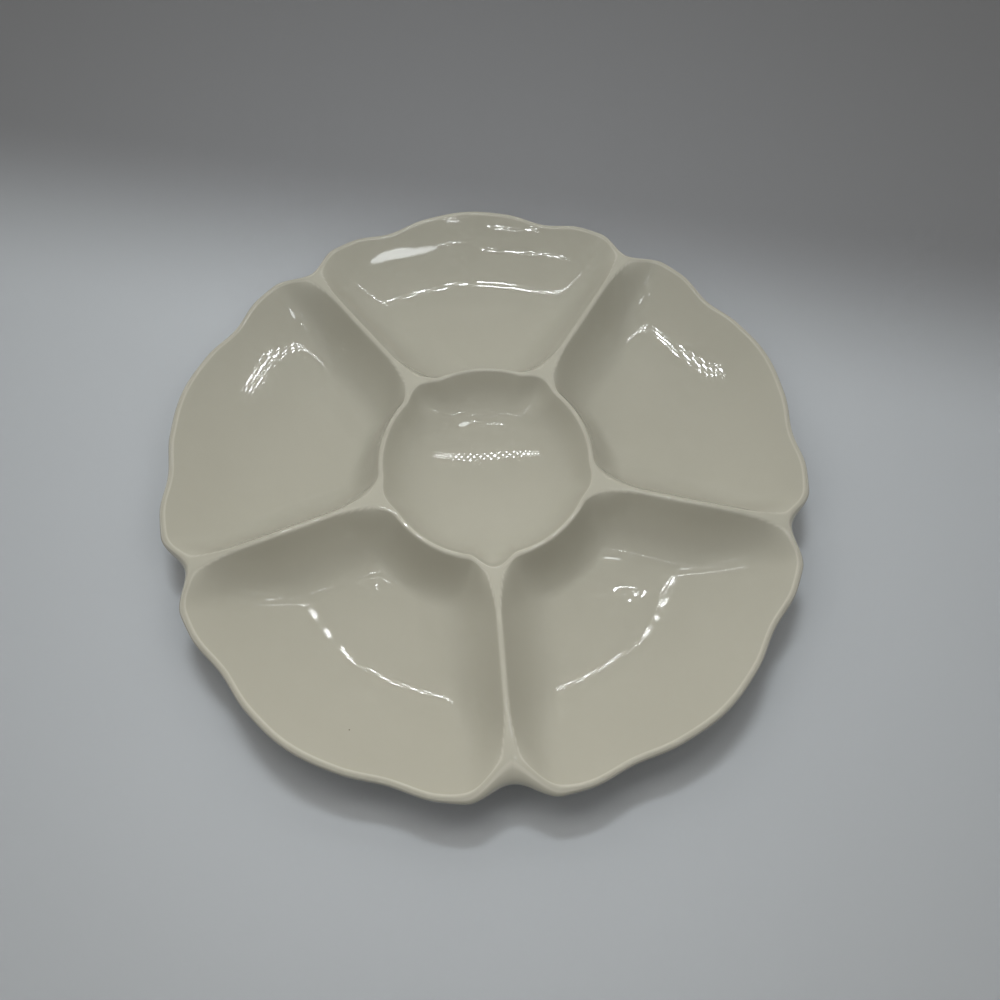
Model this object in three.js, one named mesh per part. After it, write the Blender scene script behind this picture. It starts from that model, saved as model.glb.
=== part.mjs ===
// Vegetable and dip tray in glazed ceramic: five petal compartments round a dip well.
// Millimetres, +Z up, origin on the dish axis at the table, first petal along +Y.
import * as THREE from "three";

// Outline of the rim, seen from above
const PETALS = 5;
const SHOULDER_RADIUS = 166;
const TIP_BULGE = 1.8;
const WAIST_HOLLOW = 2.2;
const NOTCH_DEPTH = 8;

// Angles of those features from the petal's own axis, as shares of half a petal's sector
const TIP_SPREAD = 0.33;
const WAIST_PLACE = 0.46;
const WAIST_SPREAD = 0.22;
const NOTCH_SPREAD = 0.21;

// Heights
const FOOT_HEIGHT = 3;
const FLOOR_THICKNESS = 6;
const POCKET_DEPTH = 28;
const TIP_RISE = 1.2;
const WAIST_DROP = 2.2;
const NOTCH_RISE = 2;

// Rounded lip of the rim: its width outside the crest line and how far it turns down
const LIP_WIDTH = 2.6;
const LIP_DROP = 4.2;
const NOTCH_LIP_WIDTH = 10;
const NOTCH_LIP_DROP = 8.5;

// Ring round the dip well: radius and width of its crest, and the points drawn out to the dividers,
// which fade down the bowl to a round
const RING_RADIUS = 54.6;
const RING_CREST = 0.6;
const RING_PULL = 7;
const CORNER_SPREAD = 0.375;
const FADED_RADIUS = 40;

// Bowl of the dip well: its depth, the share of it that rises as a round floor, how late the wall
// takes up the rest, and the rounding at its mouth
const WELL_DEPTH = 27;
const BOWL_FLOOR = 0.44;
const BOWL_POWER = 7;
const MOUTH_ROUNDING = 4;

// Crest of a divider, which flares at both ends
const DIVIDER_CREST = 1;
const DIVIDER_FLARE = 2;
const FLARE_LENGTH = 20;

// Walls: run is the horizontal width, round the crest's curve and straight the plain slope below it
const RING_WALL = { run: 21, round: 1.2, straight: 3 };
const DIVIDER_WALL = { run: 29, round: 1.2, straight: 2 };
const OUTER_WALL = { run: 56, round: 1.2, straight: 0 };
const CORNER_SHARPNESS = 1.5;

// Hollow underside: how far each wall's back lies behind its face
const INNER_UNDERCUT = 3.7;
const OUTER_UNDERCUT = 1;
const ROOF_ROUNDING = 2;

// Foot pads and the lines along which the forms meet
const FOOT_WIDTH = 7;
const FOOT_INSET = 7;
const FOOT_SIDE_INSET = 3;
const FOOT_CHAMFER = 0.8;
const SEAM_GAP = 0.3;
const RING_SEAM = 2;
const DIVIDER_SEAM = 8;

// Fineness of the surface
const WELL_COLUMNS = 10 * PETALS;
const BOWL_ROWS = 8;
const EDGE_ROWS = 4;
const PETAL_COLUMNS = 16;
const DIVIDER_COLUMNS = 8;
const RING_ROWS = 4;
const FLOOR_ROWS = 3;
const OUTER_ROWS = 7;
const LIP_ROWS = 4;
const COLUMN_CROWDING = 1.5;
const SOLVE_PASSES = 20;
const ARC_STEPS = 4;

const SECTOR = (2 * Math.PI) / PETALS;
const HALF_SECTOR = SECTOR / 2;
const UNDERSIDE = FOOT_HEIGHT;
const FLOOR = UNDERSIDE + FLOOR_THICKNESS;
const CREST = FLOOR + POCKET_DEPTH;
const FLOOR_EDGE = SHOULDER_RADIUS - LIP_WIDTH - OUTER_WALL.run;
const MOUTH_RADIUS = RING_RADIUS - RING_CREST;
const RING_POINT = RING_RADIUS + RING_PULL;
const WELL_EDGE = RING_POINT + RING_SEAM;
const PETAL_START = WELL_EDGE + SEAM_GAP;
const PETAL_SIDE = DIVIDER_SEAM + SEAM_GAP;

const glaze = new THREE.MeshStandardMaterial({ color: 0xb9b6a8, roughness: 0.12, metalness: 0 });
const bareClay = new THREE.MeshStandardMaterial({ color: 0xd8cfbd, roughness: 0.9, metalness: 0 });

const { lerp, smoothstep } = THREE.MathUtils;

// Smooth hump, 1 at its middle and 0 from spread outwards
function hump(offset, spread) {
  const share = Math.min(Math.abs(offset / spread), 1);
  return Math.cos((share * Math.PI) / 2) ** 2;
}

// Angle from the nearest petal axis as a share of half a sector, from 0 to 1 at a divider
function sectorShare(angle) {
  const turned = angle - SECTOR * Math.round(angle / SECTOR);
  return Math.abs(turned) / HALF_SECTOR;
}

const tip = (angle) => hump(sectorShare(angle), TIP_SPREAD);
const waist = (angle) => hump(sectorShare(angle) - WAIST_PLACE, WAIST_SPREAD);
const notch = (angle) => hump(1 - sectorShare(angle), NOTCH_SPREAD);
const corner = (angle) => hump(1 - sectorShare(angle), CORNER_SPREAD);

// Outermost edge of the rim, and the crest line that lies inside it by the lip's width
function rimEdge(angle) {
  const bulges = TIP_BULGE * tip(angle) - WAIST_HOLLOW * waist(angle);
  return SHOULDER_RADIUS + bulges - NOTCH_DEPTH * notch(angle);
}

const lipWidth = (angle) => lerp(LIP_WIDTH, NOTCH_LIP_WIDTH, notch(angle));
const lipDrop = (angle) => lerp(LIP_DROP, NOTCH_LIP_DROP, notch(angle));
const rimCrest = (angle) => rimEdge(angle) - lipWidth(angle);

// Crest line of the ring, drawn out to a soft point at each divider
const ringLine = (angle) => RING_RADIUS + RING_PULL * corner(angle);

// Mouth of the dip well inside that line; its points fade down the bowl
function wellMouth(radius, angle) {
  const fade = smoothstep(radius, FADED_RADIUS, MOUTH_RADIUS + RING_PULL);
  return MOUTH_RADIUS + RING_PULL * corner(angle) * fade;
}

// Half the width of a divider's crest
function dividerCrest(radius, angle) {
  const rim = rimCrest(angle);
  const atRing = 1 - smoothstep(radius, RING_POINT, RING_POINT + FLARE_LENGTH);
  const atRim = smoothstep(radius, rim - FLARE_LENGTH, rim);
  return DIVIDER_CREST / 2 + DIVIDER_FLARE * (atRing + atRim);
}

// Height of the ridges and the rim, which waves up at the tips and notches and down at the waists
function crestHeight(radius, angle) {
  const outwards = smoothstep(radius, RING_POINT, rimCrest(angle));
  const wave = TIP_RISE * tip(angle) + NOTCH_RISE * notch(angle) - WAIST_DROP * waist(angle);
  return CREST + outwards * wave;
}

// Height of a wall, 1 at its crest and 0 at its foot, at a distance from the crest
function wall(distance, { run, round, straight }) {
  const fillet = run - round - straight;
  const slope = 1 / (straight + (round + fillet) / 2);
  if (distance <= 0) return 1;
  if (distance >= run) return 0;
  if (distance < round) return 1 - (slope * distance ** 2) / (2 * round);
  if (distance > run - fillet) return (slope * (run - distance) ** 2) / (2 * fillet);
  return 1 - slope * (distance - round / 2);
}

// Walls that meet in a rounded inside corner
function joined(walls) {
  const open = walls.reduce((left, height) => left * (1 - height ** CORNER_SHARPNESS), 1);
  return (1 - open) ** (1 / CORNER_SHARPNESS);
}

// Outer wall, which rises from the round edge of the floor to the waving crest line of the rim
function outerWall(radius, angle, cut) {
  const rim = rimCrest(angle);
  return wall(((rim - radius + cut) * OUTER_WALL.run) / (rim - FLOOR_EDGE), OUTER_WALL);
}

// Depth of the bowl below its mouth
function bowlDepth(radius, mouth) {
  const share = Math.min(Math.max(radius, 0) / mouth, 1);
  const rise = lerp(share ** BOWL_POWER, share ** 2, BOWL_FLOOR);
  return Math.hypot((WELL_DEPTH + MOUTH_ROUNDING) * (1 - rise), MOUTH_ROUNDING) - MOUTH_ROUNDING;
}

// Height of the compartments and the dip well, with each wall set back by the cuts given
function hollow(radius, angle, innerCut, outerCut, rounding) {
  const crest = crestHeight(radius, angle);
  const sideways = Math.hypot(radius * Math.sin((1 - sectorShare(angle)) * HALF_SECTOR), rounding);
  const walls = joined([
    wall(radius - ringLine(angle) + innerCut, RING_WALL),
    wall(sideways - dividerCrest(radius, angle) + innerCut, DIVIDER_WALL),
    outerWall(radius, angle, outerCut),
  ]);
  const well = crest - bowlDepth(radius - innerCut, wellMouth(radius, angle));
  return Math.min(well, lerp(FLOOR, crest, walls));
}

// Upper surface of the dish
function upper(radius, angle) {
  const past = (radius - rimCrest(angle)) / lipWidth(angle);
  if (past <= 0) return hollow(radius, angle, 0, 0, 0);
  return crestHeight(radius, angle) - lipDrop(angle) * (1 - Math.sqrt(Math.max(0, 1 - past ** 2)));
}

// Lower surface: the same walls set back, below the upper one by the floor's or the lip's thickness
function lower(radius, angle) {
  const roof = hollow(radius, angle, INNER_UNDERCUT, OUTER_UNDERCUT, ROOF_ROUNDING);
  return roof - lerp(FLOOR_THICKNESS, lipDrop(angle), outerWall(radius, angle, 0));
}

// Closed solid between the two surfaces over a patch of the plan. place gives the radius and the
// angle at a column and a row; columns run counterclockwise and rows outwards.
function shellPatch(place, columns, rows, closesRound) {
  const positions = [];
  const triangles = [];
  const add = (radius, angle, height) => {
    positions.push(-radius * Math.sin(angle), radius * Math.cos(angle), height);
    return positions.length / 3 - 1;
  };
  const tops = [];
  const bottoms = [];
  columns.forEach((column, i) => {
    tops.push([]);
    bottoms.push([]);
    rows.forEach((row, j) => {
      const [radius, angle] = place(column, row);
      if (radius === 0 && i > 0) {
        tops[i].push(tops[0][j]);
        bottoms[i].push(bottoms[0][j]);
        return;
      }
      const top = upper(radius, angle);
      const bottom = lower(radius, angle);
      tops[i].push(add(radius, angle, top));
      bottoms[i].push(top - bottom > SEAM_GAP ? add(radius, angle, bottom) : tops[i][j]);
    });
  });
  if (closesRound) {
    tops.push(tops[0]);
    bottoms.push(bottoms[0]);
  }
  const triangle = (a, b, c) => {
    if (a !== b && b !== c && c !== a) triangles.push(a, b, c);
  };
  const quad = (a, b, c, d) => {
    triangle(a, b, c);
    triangle(a, c, d);
  };
  const last = tops.length - 1;
  const edge = rows.length - 1;
  for (let i = 0; i < last; i++) {
    for (let j = 0; j < edge; j++) {
      quad(tops[i][j], tops[i][j + 1], tops[i + 1][j + 1], tops[i + 1][j]);
      quad(bottoms[i][j], bottoms[i + 1][j], bottoms[i + 1][j + 1], bottoms[i][j + 1]);
    }
    if (!closesRound) quad(tops[i][0], tops[i + 1][0], bottoms[i + 1][0], bottoms[i][0]);
    quad(tops[i + 1][edge], tops[i][edge], bottoms[i][edge], bottoms[i + 1][edge]);
  }
  if (!closesRound) {
    for (let j = 0; j < edge; j++) {
      quad(tops[0][j + 1], tops[0][j], bottoms[0][j], bottoms[0][j + 1]);
      quad(tops[last][j], tops[last][j + 1], bottoms[last][j + 1], bottoms[last][j]);
    }
  }
  const geometry = new THREE.BufferGeometry();
  geometry.setAttribute("position", new THREE.Float32BufferAttribute(positions, 3));
  geometry.setIndex(triangles);
  geometry.computeVertexNormals();
  return geometry;
}

// Steps from one value to another, without the first
function steps(from, to, count) {
  return Array.from({ length: count }, (_, i) => lerp(from, to, (i + 1) / count));
}

// Rows from the ring out to the rim: 0 to 1 up to the crest line, 1 to 2 over the lip
function outwardRows(ringRows, floorRows) {
  const span = SHOULDER_RADIUS - LIP_WIDTH - PETAL_START;
  const ringFoot = (RING_WALL.run - RING_PULL - RING_SEAM) / span;
  const outerFoot = 1 - OUTER_WALL.run / span;
  const lip = steps(0, Math.PI / 2, LIP_ROWS).map((turn) => 1 + Math.sin(turn));
  return [
    0,
    ...steps(0, ringFoot, ringRows),
    ...steps(ringFoot, outerFoot, floorRows),
    ...steps(outerFoot, 1, OUTER_ROWS),
    ...lip,
  ];
}

function outwardRadius(row, angle) {
  if (row <= 1) return lerp(PETAL_START, rimCrest(angle), row);
  return rimCrest(angle) + (row - 1) * lipWidth(angle);
}

// Radius and angle that agree with each other, found by turns
function settle(row, angleAt) {
  let radius = lerp(PETAL_START, SHOULDER_RADIUS, Math.min(row, 1));
  let angle = 0;
  for (let pass = 0; pass < SOLVE_PASSES; pass++) {
    angle = angleAt(radius);
    radius = outwardRadius(row, angle);
  }
  return [radius, angle];
}

function dipWell() {
  const columns = steps(0, 2 * Math.PI, WELL_COLUMNS);
  const rows = [0, ...steps(0, 1, BOWL_ROWS), 2, ...steps(2, 3, EDGE_ROWS)];
  const place = (angle, row) => {
    const crest = ringLine(angle);
    const stops = [0, crest - RING_CREST, crest, WELL_EDGE];
    const stop = Math.min(Math.floor(row), stops.length - 2);
    return [lerp(stops[stop], stops[stop + 1], row - stop), angle];
  };
  return shellPatch(place, columns, rows, true);
}

// Compartment between two dividers, on the +Y axis
function petal() {
  const columns = [-1, ...steps(-1, 1, PETAL_COLUMNS)].map(
    (share) => Math.sign(share) * (1 - (1 - Math.abs(share)) ** COLUMN_CROWDING),
  );
  const place = (column, row) =>
    settle(row, (radius) => column * (HALF_SECTOR - Math.asin(PETAL_SIDE / radius)));
  return shellPatch(place, columns, outwardRows(RING_ROWS, FLOOR_ROWS), false);
}

// Ridge between two compartments, half a sector round from +Y
function divider() {
  const columns = [-1, ...steps(-1, 1, DIVIDER_COLUMNS)].map(
    (share) => Math.sign(share) * Math.abs(share) ** COLUMN_CROWDING,
  );
  const place = (column, row) =>
    settle(row, (radius) => HALF_SECTOR + Math.asin((column * DIVIDER_SEAM) / radius));
  return shellPatch(place, columns, outwardRows(RING_ROWS, FLOOR_ROWS), false);
}

// Bare pad under a compartment, curved with the outer edge of its floor
function foot() {
  const middle = SHOULDER_RADIUS - OUTER_WALL.run - FOOT_INSET;
  const sideways = DIVIDER_WALL.run + FOOT_SIDE_INSET;
  const half = HALF_SECTOR - Math.asin(sideways / middle);
  const [from, to] = [Math.PI / 2 - half, Math.PI / 2 + half];
  const reach = FOOT_WIDTH / 2 - FOOT_CHAMFER;
  const end = (angle) => [middle * Math.cos(angle), middle * Math.sin(angle)];
  const outline = new THREE.Shape();
  outline.absarc(0, 0, middle + reach, from, to, false);
  outline.absarc(...end(to), reach, to, to + Math.PI, false);
  outline.absarc(0, 0, middle - reach, to, from, true);
  outline.absarc(...end(from), reach, from + Math.PI, from + 2 * Math.PI, false);
  const geometry = new THREE.ExtrudeGeometry(outline, {
    depth: UNDERSIDE - SEAM_GAP - 2 * FOOT_CHAMFER,
    bevelThickness: FOOT_CHAMFER,
    bevelSize: FOOT_CHAMFER,
    bevelSegments: 1,
    curveSegments: ARC_STEPS,
  });
  return geometry.translate(0, 0, FOOT_CHAMFER);
}

const tray = new THREE.Group();

function addMesh(name, geometry, material, turn) {
  const mesh = new THREE.Mesh(geometry, material);
  mesh.name = name;
  mesh.rotation.z = turn;
  tray.add(mesh);
}

addMesh("dip_well", dipWell(), glaze, 0);
const petalForm = petal();
const dividerForm = divider();
const footForm = foot();
for (let i = 0; i < PETALS; i++) {
  addMesh(`petal_${i + 1}`, petalForm, glaze.clone(), i * SECTOR);
  addMesh(`divider_${i + 1}`, dividerForm, glaze.clone(), i * SECTOR);
  addMesh(`foot_${i + 1}`, footForm, bareClay.clone(), i * SECTOR);
}

export default tray;
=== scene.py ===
import math

import bpy
import numpy as np
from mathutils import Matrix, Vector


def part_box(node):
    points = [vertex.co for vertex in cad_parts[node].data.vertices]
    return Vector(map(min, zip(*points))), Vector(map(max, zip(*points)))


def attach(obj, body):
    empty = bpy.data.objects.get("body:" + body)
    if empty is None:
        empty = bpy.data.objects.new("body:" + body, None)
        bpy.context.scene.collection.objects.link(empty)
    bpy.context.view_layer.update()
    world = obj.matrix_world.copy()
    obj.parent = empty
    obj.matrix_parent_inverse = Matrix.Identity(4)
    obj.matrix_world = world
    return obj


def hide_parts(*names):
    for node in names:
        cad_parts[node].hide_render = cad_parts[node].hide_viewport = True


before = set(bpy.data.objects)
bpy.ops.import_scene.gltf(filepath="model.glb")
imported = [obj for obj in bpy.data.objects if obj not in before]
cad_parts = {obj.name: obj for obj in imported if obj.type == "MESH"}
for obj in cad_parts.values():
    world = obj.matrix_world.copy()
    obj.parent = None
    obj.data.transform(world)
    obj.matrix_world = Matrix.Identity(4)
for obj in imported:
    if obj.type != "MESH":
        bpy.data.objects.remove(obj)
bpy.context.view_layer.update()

# Vegetable and dip tray: one ivory glazed casting with five petal compartments round a dip well.
# Lengths of the form are in millimetres, angles run counterclockwise from +Y.
MM = 0.001
PETALS = 5
SECTOR = 2 * math.pi / PETALS
HALF_SECTOR = SECTOR / 2

# Outline of the rim, with the petals' tips and the underside where the solids have them
TIP_BULGE = 1.8
WAIST_HOLLOW = 2.2
NOTCH_DEPTH = 8
TIP_SPREAD = 0.33
WAIST_PLACE = 0.46
WAIST_SPREAD = 0.22
NOTCH_SPREAD = 0.21
SHOULDER_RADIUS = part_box("petal_1")[1].y / MM - TIP_BULGE
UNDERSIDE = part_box("petal_1")[0].z / MM

# Heights
FLOOR_THICKNESS = 6
POCKET_DEPTH = 28
TIP_RISE = 1.2
WAIST_DROP = 2.2
NOTCH_RISE = 2
FLOOR = UNDERSIDE + FLOOR_THICKNESS
CREST = FLOOR + POCKET_DEPTH

# Lip of the rim, which ends in a rounded bead and widens at the near and the other dividers
LIP_WIDTH = 2.2
LIP_DROP = 4.2
NEAR_LIP_WIDTH = 12
SIDE_LIP_WIDTH = 5
NOTCH_LIP_DROP = 8.5
LIP_BEAD = 1.6
CUSP_SPREAD = 0.32

# Ring round the dip well: its crest line, with points drawn out to the dividers
RING_RADIUS = 54.6
RING_CREST = 0.6
RING_PULL = 7
CORNER_SPREAD = 0.375
RING_POINT = RING_RADIUS + RING_PULL

# Mouth of the well inside that line: its points towards the near, far and side dividers, the cosine
# that tells these apart, and the radius down in the bowl at which the points have faded
MOUTH_RADIUS = RING_RADIUS - RING_CREST
NEAR_MOUTH_PULL = 6
FAR_MOUTH_PULL = 4
SIDE_MOUTH_PULL = 2
SIDE_COSINE = 0.6
FADED_RADIUS = 40

# Bowl of the dip well: a round floor, and a wall that takes up the rest of its depth
WELL_DEPTH = 27
BOWL_FLOOR = 0.48
BOWL_POWER = 8
MOUTH_ROUNDING = 4

# Crest of a divider, which flares at both ends
DIVIDER_CREST = 1
DIVIDER_FLARE = 2
FLARE_LENGTH = 20

# Walls: width in plan, curve of the crest and plain slope below it
RING_WALL = {"run": 21, "rounded": 1.2, "straight": 3}
DIVIDER_WALL = {"run": 29, "rounded": 1.2, "straight": 2}
OUTER_WALL = {"run": 56, "rounded": 1.2, "straight": 0}
CORNER_SHARPNESS = 1.5
FLOOR_EDGE = SHOULDER_RADIUS - LIP_WIDTH - OUTER_WALL["run"]

# Backs of the walls, seen from below
INNER_UNDERCUT = 3.7
OUTER_UNDERCUT = 1
ROOF_ROUNDING = 2

# Floors sag a little in the middle: where the sag ends towards the outer wall and a divider
FLOOR_SAG = 1.8
SAG_RADII = (FLOOR_EDGE - 23, FLOOR_EDGE + 5)
SAG_SIDES = (DIVIDER_WALL["run"] - 5, DIVIDER_WALL["run"] + 13)

# Depth below a crest of the lighter line where the glaze runs thinly, a line that is also a painted
# highlight along each side of the crest
THIN_GLAZE_AND_HIGHLIGHT_DEPTH = 0.35

# Unevenness of a hand-finished casting: wavelength, direction and height of each slow wave
WAVES = ((96, 0.4, 0.16), (71, 1.7, 0.12), (58, 2.9, 0.09), (43, 0.9, 0.05))

# Columns round the dish run along the divider walls near them, and rows run outwards
HALF_COLUMNS = 48
SIDE_COLUMNS = 27
SIDE_REACH = 30
SIDE_CROWDING = 1.6
SPLAY_RADIUS = 64
SETTLE_PASSES = 12
UPPER_ROWS = {
    "bowl": 36, "ring": 3, "ring_wall": 24, "floor": 12, "outer_wall": 46, "lip": 12, "bead": 6,
}
LOWER_ROWS = {
    "bowl": 20, "ring": 2, "ring_wall": 16, "floor": 8, "outer_wall": 26, "lip": 5,
}
ROW_CROWDING = {
    "bowl": (1, 1.6), "ring": (1, 1), "ring_wall": (1.6, 1),
    "floor": (1, 1), "outer_wall": (1, 1.5),
}

# Feet: width of the bearing face, its rounded edge and the flare that sinks into the underside
FOOT_WIDTH = 7
FOOT_CORNER = 0.7
FOOT_FLARE = 1.6
FOOT_SINK = 1.0
FOOT_SIDE_STEPS = 44
FOOT_END_STEPS = 14
FOOT_CORNER_STEPS = 5
FOOT_FLARE_STEPS = 6

# Values between which most of a noise lies
NOISE_LOW = 0.3
NOISE_HIGH = 0.7

# Glaze: linear colours, sparse specks, uneven gloss, a faint peel, and a lighter colour where the
# glaze runs thinly below the crests, which also serves as painted highlight
GLAZE = (0.405, 0.391, 0.327)
GLAZE_DEEP = (0.386, 0.372, 0.309)
GLAZE_THIN_AND_HIGHLIGHT = (0.49, 0.468, 0.40)
GLAZE_CLOUDS = 11.0
GLAZE_IOR = 1.6
SPECK_COLOUR = (0.10, 0.075, 0.05)
SPECK_DENSITY = 42.0
SPECK_RARITY = 0.72
SPECK_SIZE = 0.022
GLOSS_SMEARS = 26.0
GLOSS_ROUGHNESS = (0.02, 0.05)
PEEL_DENSITY = 190.0
PEEL_STRENGTH = 0.15
PEEL_HEIGHT = 0.00012

# Bare clay: linear colours, grain and stains
CLAY = (0.72, 0.66, 0.56)
CLAY_DARK = (0.60, 0.54, 0.45)
CLAY_WORN = (0.42, 0.39, 0.35)
CLAY_GRAIN = 900.0
CLAY_GRAIN_STOPS = (0.35, 0.65)
CLAY_STAINS = 60.0
CLAY_STAIN_RANGE = (0.5, 0.75)
CLAY_STAIN_SHARE = 0.6
CLAY_ROUGHNESS = (0.75, 0.95)
CLAY_BUMP_STRENGTH = 0.5
CLAY_BUMP_HEIGHT = 0.0002

# Table, in metres: linear colours, and the direction and range of the painted shade that darkens it
# towards the back
TABLE_SIZE = 8.0
TABLE = (0.48, 0.504, 0.528)
TABLE_DEEP = (0.466, 0.489, 0.513)
TABLE_PAINTED_SHADE = (0.215, 0.218, 0.226)
TABLE_CLOUDS = 3.0
TABLE_ROUGHNESS = 0.6
TABLE_SHADE = (0.25, 1, 0)
TABLE_SHADE_START = 0.08
TABLE_SHADE_END = 0.24

# Room: light from beyond the dish, and the backdrop that shows
SKY = (1.0, 0.975, 0.93)
COOL = (0.94, 0.98, 1.0)
WORLD_FAR = 0.76
BACKDROP = 0.2

# Lamps, in metres and watts: place, size, power and colour
LAMP_HEIGHT = 0.36
SOFT_LAMPS = {
    "key": ((-0.02, 0.17, 0.70), (0.14, 0.05), 1.85, COOL),
    "fill": ((-0.03, -0.10, 0.26), (0.16, 0.05), 0.16, SKY),
}
NEAR_PANEL = ((0.075, -0.068, LAMP_HEIGHT), (0.05, 0.035), 0.03, COOL)

# Strips of small bright lamps: start and end along X, place along Y and width
STRIPS = {
    "far": (-0.18, 0.18, 0.09, 0.020),
    "middle_left": (-0.075, -0.015, -0.047, 0.010),
    "middle_right": (0.022, 0.046, -0.077, 0.010),
    "near_left": (-0.065, -0.035, -0.126, 0.010),
    "near_right": (0.018, 0.05, -0.147, 0.010),
    "outer_left": (-0.22, -0.09, -0.15, 0.010),
    "outer_right": (0.05, 0.20, -0.22, 0.010),
}
STRIP_TURN = -4.6
STRIP_GLOW = 20.0
BEAD_PITCH = 0.009
BEAD_ROWS = 2
BEAD_TIGHTNESS = 6
BEAD_MEAN = math.comb(2 * BEAD_TIGHTNESS, BEAD_TIGHTNESS) / 4 ** BEAD_TIGHTNESS
BEAD_PEAK = (1 / BEAD_MEAN) ** (1 / BEAD_TIGHTNESS)

# Camera at the photograph's angle, in metres, degrees and millimetres
CAMERA_PLACE = (-0.0095, -0.1762, 0.3825)
CAMERA_TURN = (23.84, -0.40, -4.65)
CAMERA_LENS = 27.04
CAMERA_SENSOR = 36


def lerp(a, b, share):
    return a + (b - a) * share


def smoothstep(value, low, high):
    share = np.clip((value - low) / (high - low), 0, 1)
    return share * share * (3 - 2 * share)


def hump(offset, spread):
    """Smooth hump, 1 at its middle and 0 from spread outwards."""
    return np.cos(np.minimum(np.abs(offset / spread), 1) * math.pi / 2) ** 2


def sector_share(angle):
    """Angle from the nearest petal axis as a share of half a sector, 1 at a divider."""
    return np.abs(angle - SECTOR * np.round(angle / SECTOR)) / HALF_SECTOR


def tip(angle):
    return hump(sector_share(angle), TIP_SPREAD)


def waist(angle):
    return hump(sector_share(angle) - WAIST_PLACE, WAIST_SPREAD)


def notch(angle):
    return hump(1 - sector_share(angle), NOTCH_SPREAD)


def corner(angle):
    return hump(1 - sector_share(angle), CORNER_SPREAD)


def rim_edge(angle):
    bulges = TIP_BULGE * tip(angle) - WAIST_HOLLOW * waist(angle)
    return SHOULDER_RADIUS + bulges - NOTCH_DEPTH * notch(angle)


def lip_width(angle):
    """Width of the lip, which runs in to a cusp at each divider, furthest at the one along -Y."""
    cusp = (1 - np.minimum((1 - sector_share(angle)) / CUSP_SPREAD, 1)) ** 2
    near = np.cos(angle) < -np.cos(HALF_SECTOR)
    return lerp(LIP_WIDTH, np.where(near, NEAR_LIP_WIDTH, SIDE_LIP_WIDTH), cusp)


def lip_drop(angle):
    return lerp(LIP_DROP, NOTCH_LIP_DROP, notch(angle))


def rim_crest(angle):
    return rim_edge(angle) - lip_width(angle)


def ring_line(angle):
    """Crest line of the ring, drawn out to a soft point at each divider."""
    return RING_RADIUS + RING_PULL * corner(angle)


def mouth_points(angle):
    """How far the mouth's points are drawn out: most along -Y, and least at the dividers beside."""
    places = [np.cos(angle) < -SIDE_COSINE, np.cos(angle) > SIDE_COSINE]
    return np.select(places, [NEAR_MOUTH_PULL, FAR_MOUTH_PULL], SIDE_MOUTH_PULL) * corner(angle)


def well_mouth(radius, angle):
    """Mouth of the dip well inside that line; its points fade down the bowl."""
    fade = smoothstep(radius, FADED_RADIUS, MOUTH_RADIUS)
    return MOUTH_RADIUS + mouth_points(angle) * fade


def divider_crest(radius, angle):
    """Half the width of a divider's crest."""
    rim = rim_crest(angle)
    at_ring = 1 - smoothstep(radius, RING_POINT, RING_POINT + FLARE_LENGTH)
    at_rim = smoothstep(radius, rim - FLARE_LENGTH, rim)
    return DIVIDER_CREST / 2 + DIVIDER_FLARE * (at_ring + at_rim)


def crest_height(radius, angle):
    """Height of the ridges and the rim, which waves up at tips and notches and down at waists."""
    outwards = smoothstep(radius, RING_POINT, rim_crest(angle))
    wave = TIP_RISE * tip(angle) + NOTCH_RISE * notch(angle) - WAIST_DROP * waist(angle)
    return CREST + outwards * wave


def wall(distance, run, rounded, straight):
    """Height of a wall, 1 at its crest and 0 at its foot, at a distance from the crest."""
    fillet = run - rounded - straight
    slope = 1 / (straight + (rounded + fillet) / 2)
    top = 1 - slope * distance ** 2 / (2 * rounded)
    middle = 1 - slope * (distance - rounded / 2)
    foot = slope * (run - distance) ** 2 / (2 * fillet)
    places = [distance <= 0, distance >= run, distance < rounded, distance > run - fillet]
    return np.select(places, [1.0, 0.0, top, foot], middle)


def joined(walls):
    """Walls that meet in a rounded inside corner."""
    clear = np.prod([1 - height ** CORNER_SHARPNESS for height in walls], axis=0)
    return np.clip(1 - clear, 0, 1) ** (1 / CORNER_SHARPNESS)


def outer_wall(radius, angle, cut):
    """Outer wall, which rises from the floor's round edge to the waving crest line of the rim."""
    rim = rim_crest(angle)
    return wall((rim - radius + cut) * OUTER_WALL["run"] / (rim - FLOOR_EDGE), **OUTER_WALL)


def bowl_depth(radius, mouth):
    """Depth of the well's bowl below its mouth."""
    share = np.clip(radius / mouth, 0, 1)
    rise = lerp(share ** BOWL_POWER, share ** 2, BOWL_FLOOR)
    return np.hypot((WELL_DEPTH + MOUTH_ROUNDING) * (1 - rise), MOUTH_ROUNDING) - MOUTH_ROUNDING


def hollow(radius, angle, inner_cut, outer_cut, rounding):
    """Height of the compartments and the dip well, with each wall set back by the cuts given."""
    crest = crest_height(radius, angle)
    sideways = np.hypot(radius * np.sin((1 - sector_share(angle)) * HALF_SECTOR), rounding)
    walls = joined([
        wall(radius - ring_line(angle) + inner_cut, **RING_WALL),
        wall(sideways - divider_crest(radius, angle) + inner_cut, **DIVIDER_WALL),
        outer_wall(radius, angle, outer_cut),
    ])
    well = crest - bowl_depth(radius - inner_cut, well_mouth(radius, angle))
    return np.minimum(well, lerp(FLOOR, crest, walls))


def floor_sag(radius, angle):
    """How far a compartment's floor lies below its plain form."""
    sideways = radius * np.sin((1 - sector_share(angle)) * HALF_SECTOR)
    return FLOOR_SAG * (1 - smoothstep(radius, *SAG_RADII)) * smoothstep(sideways, *SAG_SIDES)


def upper(radius, angle):
    """Height of the face that shows from above."""
    height = hollow(radius, angle, 0, 0, 0)
    share = np.clip((crest_height(radius, angle) - height) / POCKET_DEPTH, 0, 1)
    in_petal = smoothstep(radius, ring_line(angle), ring_line(angle) + RING_WALL["run"])
    return height - share * in_petal * floor_sag(radius, angle)


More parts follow.
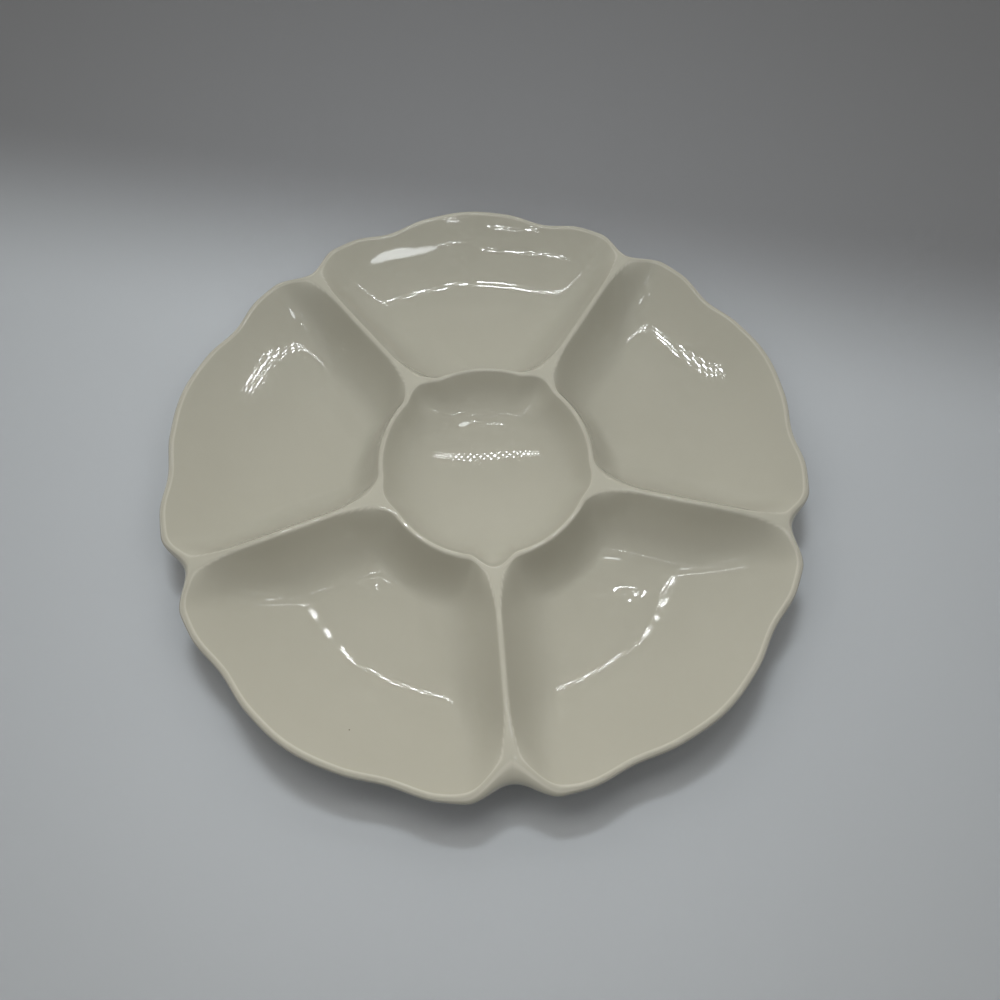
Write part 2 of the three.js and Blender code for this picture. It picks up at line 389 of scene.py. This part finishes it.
def glaze_thinness_and_highlight(depth):
    """Share of thinly run glaze at a depth below a crest, drawn as a lighter line along each side
    of the crest that is also a painted highlight.
    """
    return hump(depth - THIN_GLAZE_AND_HIGHLIGHT_DEPTH, THIN_GLAZE_AND_HIGHLIGHT_DEPTH)


def lower(radius, angle):
    """Height of the underside, which follows the walls' backs."""
    roof = hollow(radius, angle, INNER_UNDERCUT, OUTER_UNDERCUT, ROOF_ROUNDING)
    return roof - lerp(FLOOR_THICKNESS, lip_drop(angle), outer_wall(radius, angle, 0))


def column_angle(column, radius):
    """Angle of a column, -1 to 1 across a divider; the columns near it run along its walls."""
    reach = np.abs(column)
    along = SIDE_COLUMNS / HALF_COLUMNS
    splay = np.maximum(radius, SPLAY_RADIUS)
    near = np.arcsin(SIDE_REACH * np.minimum(reach / along, 1) ** SIDE_CROWDING / splay)
    far = np.maximum(reach - along, 0) / (1 - along)
    return HALF_SECTOR + np.sign(column) * lerp(near, HALF_SECTOR, far)


def row_radius(row, angle):
    """Radius at a row; whole rows are the mouth, ring, ring's foot, floor's edge and rim."""
    ring = ring_line(angle)
    edges = [
        np.zeros_like(angle),
        MOUTH_RADIUS + mouth_points(angle),
        ring,
        ring + RING_WALL["run"],
        np.full_like(angle, FLOOR_EDGE),
        rim_crest(angle),
    ]
    index = np.minimum(np.floor(row).astype(int), len(edges) - 2)
    return lerp(np.choose(index, edges), np.choose(index + 1, edges), row - index)


def rows_of(counts, parts):
    """Row numbers over the named parts of the surface, closer together towards each crest."""
    rows = [np.zeros(1)]
    for index, part in enumerate(parts):
        start, end = ROW_CROWDING[part]
        share = np.arange(1, counts[part] + 1) / counts[part]
        rows.append(index + 1 - (1 - share ** start) ** end)
    return np.concatenate(rows)[:, None]


def settled(radius_at, columns, sector):
    """Radius and angle of a patch that agree with each other, found by turns."""
    angle = column_angle(columns, SHOULDER_RADIUS) + sector
    radius = radius_at(angle)
    for _ in range(SETTLE_PASSES):
        angle = column_angle(columns, radius) + sector
        radius = radius_at(angle)
    return radius, angle


def unevenness(x, y):
    """Sum of the slow waves at a place."""
    total = np.zeros_like(x)
    for length, direction, height in WAVES:
        along = x * math.cos(direction) + y * math.sin(direction)
        across = y * math.cos(direction) - x * math.sin(direction)
        total += height * np.sin(2 * math.pi * along / length + direction) * np.cos(across / length)
    return total


def dish_rows(sector):
    """Radius, angle, height and share of thinly run glaze with its painted highlight, of a sector,
    in rows from the well over the rim.
    """
    columns = np.linspace(-1, 1, 2 * HALF_COLUMNS, endpoint=False)[None, :]
    parts = ("bowl", "ring", "ring_wall", "floor", "outer_wall")

    rows = rows_of(UPPER_ROWS, parts)
    radius, angle = settled(lambda a: row_radius(rows, a), columns, sector)
    height = upper(radius, angle)
    yield radius, angle, height, glaze_thinness_and_highlight(crest_height(radius, angle) - height)

    turn = (np.arange(1, UPPER_ROWS["lip"] + 1) / UPPER_ROWS["lip"] * math.pi / 2)[:, None]
    radius, angle = settled(lambda a: rim_crest(a) + lip_width(a) * np.sin(turn), columns, sector)
    fall = (lip_drop(angle) - LIP_BEAD) * (1 - np.cos(turn))
    yield radius, angle, crest_height(radius, angle) - fall, glaze_thinness_and_highlight(fall)

    turn = (np.arange(1, UPPER_ROWS["bead"] + 1) / UPPER_ROWS["bead"] * math.pi / 2)[:, None]
    radius, angle = settled(lambda a: rim_edge(a) - LIP_BEAD * (1 - np.cos(turn)), columns, sector)
    fall = lip_drop(angle) - LIP_BEAD * (1 - np.sin(turn))
    yield radius, angle, crest_height(radius, angle) - fall, 0 * angle

    inwards = np.linspace(1, 0, LOWER_ROWS["lip"] + 1)[1:-1, None]
    radius, angle = settled(
        lambda a: rim_crest(a) + (lip_width(a) - LIP_BEAD) * inwards, columns, sector)
    yield radius, angle, lower(radius, angle), 0 * angle

    rows = rows_of(LOWER_ROWS, parts)[::-1]
    radius, angle = settled(lambda a: row_radius(rows, a), columns, sector)
    yield radius, angle, lower(radius, angle), 0 * angle


def mesh_object(name, vertices, faces, material):
    mesh = bpy.data.meshes.new(name)
    mesh.from_pydata(vertices, [], faces)
    mesh.materials.append(material)
    mesh.shade_smooth()
    mesh.update()
    piece = bpy.data.objects.new(name, mesh)
    bpy.context.scene.collection.objects.link(piece)
    return piece


def glazed_dish(material):
    """Whole casting as one closed surface, from the well's middle over the rim and back below."""
    sectors = []
    for index in range(PETALS):
        sectors.append([np.concatenate(part) for part in zip(*dish_rows(SECTOR * index))])
    radius, angle, height, thin_and_highlight = (np.concatenate(part, axis=1) for part in zip(*sectors))
    x = -radius * np.sin(angle)
    y = radius * np.cos(angle)
    points = np.stack([x, y, height + unevenness(x, y)], axis=-1) * MM
    rings, count = radius.shape
    inner = points[1:-1].reshape(-1, 3)
    middles = points[[0, -1], 0]
    top, bottom = len(inner), len(inner) + 1

    start = np.arange(rings - 3)[:, None] * count
    here = np.arange(count)[None, :]
    there = (here + 1) % count
    below = start + count
    quads = np.stack([start + here, below + here, below + there, start + there], axis=-1)
    faces = quads.reshape(-1, 4).tolist()
    last = (rings - 3) * count
    for column in range(count):
        beside = (column + 1) % count
        faces.append((top, column, beside))
        faces.append((bottom, last + beside, last + column))
    piece = mesh_object("glazed_dish", np.concatenate([inner, middles]).tolist(), faces, material)
    thinness_and_highlight = piece.data.attributes.new("glaze_thinness_and_highlight", "FLOAT", "POINT")
    thinness_and_highlight.data.foreach_set("value", np.append(thin_and_highlight[1:-1].ravel(), [0, 0]).astype(np.float32))
    return piece


def on_arc(radius, angle):
    return -radius * math.sin(angle), radius * math.cos(angle)


def end_point(middle, place, direction, reach):
    x, y = on_arc(middle, place)
    across, along = on_arc(reach, direction)
    return x + across, y + along


def foot_outline(middle, half, reach):
    """Points round a strip bent along an arc, with round ends."""
    side = np.linspace(-half, half, FOOT_SIDE_STEPS)
    end = np.linspace(0, math.pi, FOOT_END_STEPS + 2)[1:-1]
    points = [on_arc(middle + reach, place) for place in side]
    points += [end_point(middle, half, half + turn, reach) for turn in end]
    points += [on_arc(middle - reach, place) for place in side[::-1]]
    points += [end_point(middle, -half, -half + math.pi + turn, reach) for turn in end]
    return points


def bare_foot(index, middle, half, reach, material):
    """Foot pad: flat bearing face, rounded edge and a flare that runs up into the underside."""
    edge = [
        (reach - FOOT_CORNER * (1 - math.sin(turn)), FOOT_CORNER * (1 - math.cos(turn)))
        for turn in np.linspace(0, math.pi / 2, FOOT_CORNER_STEPS)
    ]
    flare_start = UNDERSIDE - FOOT_FLARE
    flare = [
        (reach + FOOT_FLARE * (1 - math.cos(turn)), flare_start + FOOT_FLARE * math.sin(turn))
        for turn in np.linspace(0, math.pi / 2, FOOT_FLARE_STEPS)
    ]
    loops = edge + flare + [(reach + FOOT_FLARE, UNDERSIDE + FOOT_SINK)]
    turn = SECTOR * index
    vertices = []
    for offset, height in loops:
        for x, y in foot_outline(middle, half, offset):
            vertices.append((
                (x * math.cos(turn) - y * math.sin(turn)) * MM,
                (x * math.sin(turn) + y * math.cos(turn)) * MM,
                height * MM,
            ))
    count = len(vertices) // len(loops)
    faces = []
    for loop in range(len(loops) - 1):
        for column in range(count):
            beside = (column + 1) % count
            base = loop * count
            above = base + count
            faces.append((base + column, above + column, above + beside, base + beside))
    faces.append(tuple(range(count)))
    faces.append(tuple(reversed(range((len(loops) - 1) * count, len(loops) * count))))
    return mesh_object(f"bare_foot_{index + 1}", vertices, faces, material)


def node(tree, kind, **values):
    """Adds a shader node; a value sets the property of that name, or else the input socket."""
    made = tree.nodes.new(kind)
    for name, value in values.items():
        if hasattr(made, name):
            setattr(made, name, value)
        else:
            made.inputs[name.replace("_", " ")].default_value = value
    return made


def new_material(name):
    material = bpy.data.materials.new(name)
    material.use_nodes = True
    tree = material.node_tree
    return material, tree, tree.nodes["Principled BSDF"]


def ramp(tree, source, stops):
    made = tree.nodes.new("ShaderNodeValToRGB")
    while len(made.color_ramp.elements) < len(stops):
        made.color_ramp.elements.new(0.5)
    for element, (place, colour) in zip(made.color_ramp.elements, stops):
        element.position = place
        element.color = (*colour, 1)
    tree.links.new(source, made.inputs["Fac"])
    return made.outputs["Color"]


def mixed(tree, share, first, second):
    """Colour between two, where each is a socket or a fixed colour."""
    made = node(tree, "ShaderNodeMix", data_type="RGBA")
    colours = [socket for socket in made.inputs if socket.type == "RGBA"]
    tree.links.new(share, made.inputs["Factor"])
    for socket, colour in zip(colours, (first, second)):
        if isinstance(colour, tuple):
            socket.default_value = (*colour, 1)
        else:
            tree.links.new(colour, socket)
    return next(socket for socket in made.outputs if socket.type == "RGBA")


def glaze_material():
    material, tree, shader = new_material("ivory_glaze")
    link = tree.links.new
    place = node(tree, "ShaderNodeTexCoord").outputs["Object"]

    cloud = node(tree, "ShaderNodeTexNoise", Scale=GLAZE_CLOUDS, Detail=3.0, Roughness=0.55)
    link(place, cloud.inputs["Vector"])
    body = ramp(tree, cloud.outputs["Fac"], ((NOISE_LOW, GLAZE_DEEP), (NOISE_HIGH, GLAZE)))

    thin_and_highlight = node(tree, "ShaderNodeAttribute", attribute_name="glaze_thinness_and_highlight")
    # Lighter colour of thinly run glaze below the crests, which is also a painted highlight along
    # them
    thinned_and_highlighted = mixed(tree, thin_and_highlight.outputs["Fac"], body, GLAZE_THIN_AND_HIGHLIGHT)

    cells = node(tree, "ShaderNodeTexVoronoi", Scale=SPECK_DENSITY, Randomness=1.0)
    link(place, cells.inputs["Vector"])
    dot = node(tree, "ShaderNodeMath", operation="LESS_THAN")
    link(cells.outputs["Distance"], dot.inputs[0])
    pick = node(tree, "ShaderNodeSeparateColor")
    link(cells.outputs["Color"], pick.inputs["Color"])
    size = node(tree, "ShaderNodeMapRange", From_Min=SPECK_RARITY, To_Max=SPECK_SIZE)
    link(pick.outputs["Red"], size.inputs["Value"])
    link(size.outputs["Result"], dot.inputs[1])
    link(mixed(tree, dot.outputs["Value"], thinned_and_highlighted, SPECK_COLOUR), shader.inputs["Base Color"])

    smear = node(tree, "ShaderNodeTexNoise", Scale=GLOSS_SMEARS, Detail=4.0)
    link(place, smear.inputs["Vector"])
    smooth, dull = GLOSS_ROUGHNESS
    gloss = node(tree, "ShaderNodeMapRange", To_Min=smooth, To_Max=dull)
    gloss.inputs["From Min"].default_value = NOISE_LOW
    gloss.inputs["From Max"].default_value = NOISE_HIGH
    link(smear.outputs["Fac"], gloss.inputs["Value"])
    link(gloss.outputs["Result"], shader.inputs["Roughness"])

    peel = node(tree, "ShaderNodeTexNoise", Scale=PEEL_DENSITY, Detail=2.0)
    link(place, peel.inputs["Vector"])
    bump = node(tree, "ShaderNodeBump", Strength=PEEL_STRENGTH, Distance=PEEL_HEIGHT)
    link(peel.outputs["Fac"], bump.inputs["Height"])
    link(bump.outputs["Normal"], shader.inputs["Normal"])

    shader.inputs["IOR"].default_value = GLAZE_IOR
    return material


def clay_material():
    material, tree, shader = new_material("bare_clay")
    link = tree.links.new
    place = node(tree, "ShaderNodeTexCoord").outputs["Object"]

    grain = node(tree, "ShaderNodeTexNoise", Scale=CLAY_GRAIN, Detail=4.0)
    link(place, grain.inputs["Vector"])
    dark, pale = CLAY_GRAIN_STOPS
    body = ramp(tree, grain.outputs["Fac"], ((dark, CLAY_DARK), (pale, CLAY)))

    stain = node(tree, "ShaderNodeTexNoise", Scale=CLAY_STAINS, Detail=4.0)
    link(place, stain.inputs["Vector"])
    start, end = CLAY_STAIN_RANGE
    worn = node(tree, "ShaderNodeMapRange", From_Min=start, From_Max=end, To_Max=CLAY_STAIN_SHARE)
    link(stain.outputs["Fac"], worn.inputs["Value"])
    scuffed = mixed(tree, worn.outputs["Result"], body, CLAY_WORN)
    link(scuffed, shader.inputs["Base Color"])

    smooth, rough_most = CLAY_ROUGHNESS
    rough = node(tree, "ShaderNodeMapRange", To_Min=smooth, To_Max=rough_most)
    link(grain.outputs["Fac"], rough.inputs["Value"])
    link(rough.outputs["Result"], shader.inputs["Roughness"])
    bump = node(tree, "ShaderNodeBump", Strength=CLAY_BUMP_STRENGTH, Distance=CLAY_BUMP_HEIGHT)
    link(grain.outputs["Fac"], bump.inputs["Height"])
    link(bump.outputs["Normal"], shader.inputs["Normal"])
    return material


def table_material():
    material, tree, shader = new_material("pale_table")
    link = tree.links.new
    place = node(tree, "ShaderNodeTexCoord").outputs["Object"]
    cloud = node(tree, "ShaderNodeTexNoise", Scale=TABLE_CLOUDS, Detail=3.0)
    link(place, cloud.inputs["Vector"])
    body = ramp(tree, cloud.outputs["Fac"], ((NOISE_LOW, TABLE_DEEP), (NOISE_HIGH, TABLE)))
    # Painted shade: the table's colour darkens towards the back and the right
    away = node(tree, "ShaderNodeVectorMath", operation="DOT_PRODUCT")
    away.inputs[1].default_value = TABLE_SHADE
    link(place, away.inputs[0])
    back = node(tree, "ShaderNodeMapRange", interpolation_type="SMOOTHSTEP")
    back.inputs["From Min"].default_value = TABLE_SHADE_START
    back.inputs["From Max"].default_value = TABLE_SHADE_END
    link(away.outputs["Value"], back.inputs["Value"])
    link(mixed(tree, back.outputs["Result"], body, TABLE_PAINTED_SHADE), shader.inputs["Base Color"])
    shader.inputs["Roughness"].default_value = TABLE_ROUGHNESS
    return material


def room():
    """World that is brighter beyond the dish, behind an even backdrop."""
    world = bpy.data.worlds.new("room")
    world.use_nodes = True
    tree = world.node_tree
    split = node(tree, "ShaderNodeSeparateXYZ")
    tree.links.new(node(tree, "ShaderNodeTexCoord").outputs["Generated"], split.inputs["Vector"])
    beyond = node(tree, "ShaderNodeMapRange", From_Min=-1.0, To_Max=WORLD_FAR)
    tree.links.new(split.outputs["Y"], beyond.inputs["Value"])
    rays = node(tree, "ShaderNodeLightPath")
    mirrored = node(tree, "ShaderNodeMath", operation="MAXIMUM")
    tree.links.new(rays.outputs["Is Glossy Ray"], mirrored.inputs[0])
    tree.links.new(rays.outputs["Is Transmission Ray"], mirrored.inputs[1])
    seen = node(tree, "ShaderNodeMath", operation="MAXIMUM")
    tree.links.new(rays.outputs["Is Camera Ray"], seen.inputs[0])
    tree.links.new(mirrored.outputs["Value"], seen.inputs[1])
    level = node(tree, "ShaderNodeMix", B=BACKDROP)
    tree.links.new(seen.outputs["Value"], level.inputs["Factor"])
    tree.links.new(beyond.outputs["Result"], level.inputs["A"])
    background = tree.nodes["Background"]
    background.inputs["Color"].default_value = (*SKY, 1)
    tree.links.new(level.outputs["Result"], background.inputs["Strength"])
    return world


def area_lamp(name, place, size, power, colour):
    lamp = bpy.data.lights.new(name, "AREA")
    lamp.shape = "RECTANGLE"
    lamp.size, lamp.size_y = size
    lamp.energy = power
    lamp.color = colour
    item = bpy.data.objects.new(name, lamp)
    item.location = place
    bpy.context.scene.collection.objects.link(item)
    return item


def bead_waves(tree, face, count, rows):
    """Waves across a lamp's face at a slant, with narrow peaks and 1 on average."""
    link = tree.links.new
    slant = node(tree, "ShaderNodeVectorMath", operation="DOT_PRODUCT")
    slant.inputs[1].default_value = (math.pi * count, math.pi * rows, 0)
    link(face, slant.inputs[0])
    swing = node(tree, "ShaderNodeMath", operation="COSINE")
    link(slant.outputs["Value"], swing.inputs[0])
    level = node(tree, "ShaderNodeMapRange", From_Min=-1.0, To_Max=BEAD_PEAK)
    link(swing.outputs["Value"], level.inputs["Value"])
    peak = node(tree, "ShaderNodeMath", operation="POWER")
    link(level.outputs["Result"], peak.inputs[0])
    peak.inputs[1].default_value = BEAD_TIGHTNESS
    return peak.outputs["Value"]


def strip_lamp(name, start, end, y, width):
    """Strip of small lamps in staggered rows, seen in the glaze as a beaded line."""
    place = ((start + end) / 2, y, LAMP_HEIGHT)
    item = area_lamp(name, place, (end - start, width), STRIP_GLOW * (end - start) * width, COOL)
    item.rotation_euler.z = math.radians(STRIP_TURN)
    item.data.use_nodes = True
    tree = item.data.node_tree
    face = node(tree, "ShaderNodeNewGeometry").outputs["Parametric"]
    count = round((end - start) / BEAD_PITCH)
    beads = node(tree, "ShaderNodeMath", operation="MULTIPLY")
    tree.links.new(bead_waves(tree, face, count, BEAD_ROWS), beads.inputs[0])
    tree.links.new(bead_waves(tree, face, count, -BEAD_ROWS), beads.inputs[1])
    tree.links.new(beads.outputs["Value"], tree.nodes["Emission"].inputs["Strength"])


# Dish
dish = glazed_dish(glaze_material())
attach(dish, "root")
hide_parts("dip_well")
for number in range(1, PETALS + 1):
    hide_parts(f"petal_{number}", f"divider_{number}")

# Feet, placed and sized by the first foot's solid
foot_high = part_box("foot_1")[1]
foot_reach = FOOT_WIDTH / 2
foot_middle = foot_high.y / MM - foot_reach
foot_half = math.asin((foot_high.x / MM - foot_reach) / foot_middle)
clay = clay_material()
for index in range(PETALS):
    foot = bare_foot(index, foot_middle, foot_half, foot_reach, clay)
    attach(foot, "root")
    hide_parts(f"foot_{index + 1}")

# Table
half_table = TABLE_SIZE / 2
corners = [(-half_table, -half_table, 0), (half_table, -half_table, 0),
           (half_table, half_table, 0), (-half_table, half_table, 0)]
table = mesh_object("table", corners, [(0, 1, 2, 3)], table_material())

# Light
bpy.context.scene.world = room()
for name, lamp in SOFT_LAMPS.items():
    area_lamp(name, *lamp).visible_glossy = False
panel = area_lamp("near_panel", *NEAR_PANEL)
panel.data.shape = "ELLIPSE"
for name, (start, end, y, width) in STRIPS.items():
    strip_lamp(f"strip_{name}", start, end, y, width)

# Camera
camera = bpy.data.cameras.new("camera")
camera.lens = CAMERA_LENS
camera.sensor_width = CAMERA_SENSOR
camera_item = bpy.data.objects.new("camera", camera)
camera_item.location = CAMERA_PLACE
camera_item.rotation_euler = [math.radians(angle) for angle in CAMERA_TURN]
bpy.context.scene.collection.objects.link(camera_item)
bpy.context.scene.camera = camera_item
bpy.context.scene.view_settings.view_transform = "Standard"
